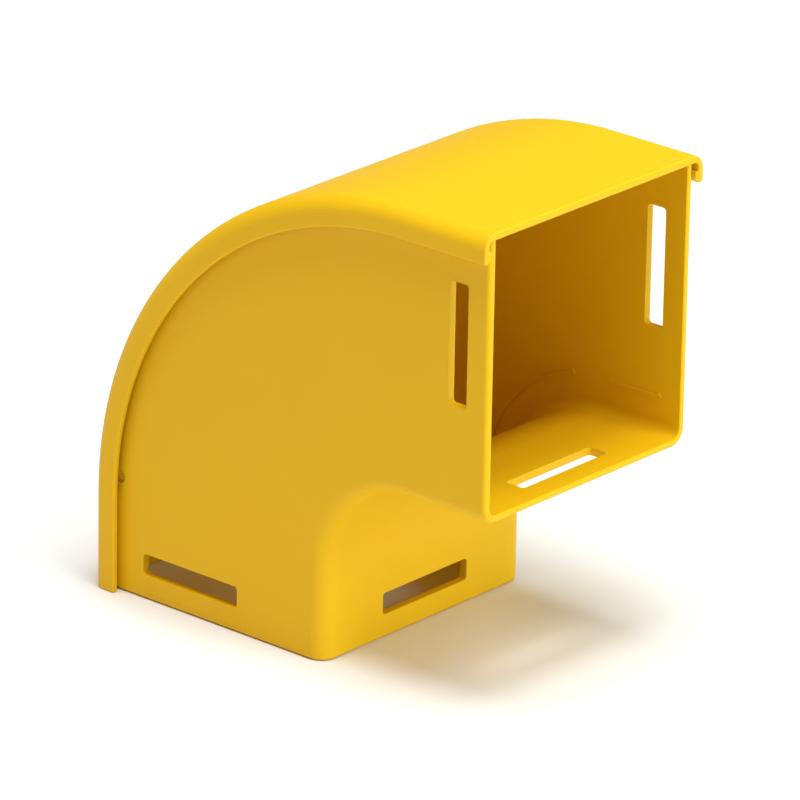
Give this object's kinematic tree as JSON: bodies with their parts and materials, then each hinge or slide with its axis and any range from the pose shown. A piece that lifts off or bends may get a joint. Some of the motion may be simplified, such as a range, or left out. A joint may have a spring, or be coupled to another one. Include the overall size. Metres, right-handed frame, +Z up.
{
  "type": "fibre raceway elbow",
  "caption": "Right-angle vertical elbow for a square fibre raceway: a bent channel with coupler slots in its walls at both open ends, closed along the outside of the bend by a snap-fit cover.",
  "frame": {"origin": "middle of the lower opening, in the plane of the lower end", "axes": "+Z up the standing leg, +X out of the upper opening, Y across the duct between the side walls"},
  "size_m": [0.1852, 0.1184, 0.184],
  "materials": {
    "moulding": "satin yellow"
  },
  "bodies": {
    "root": {"elbow_body": "moulding", "snap_cover": "moulding"}
  },
  "joints": []
}
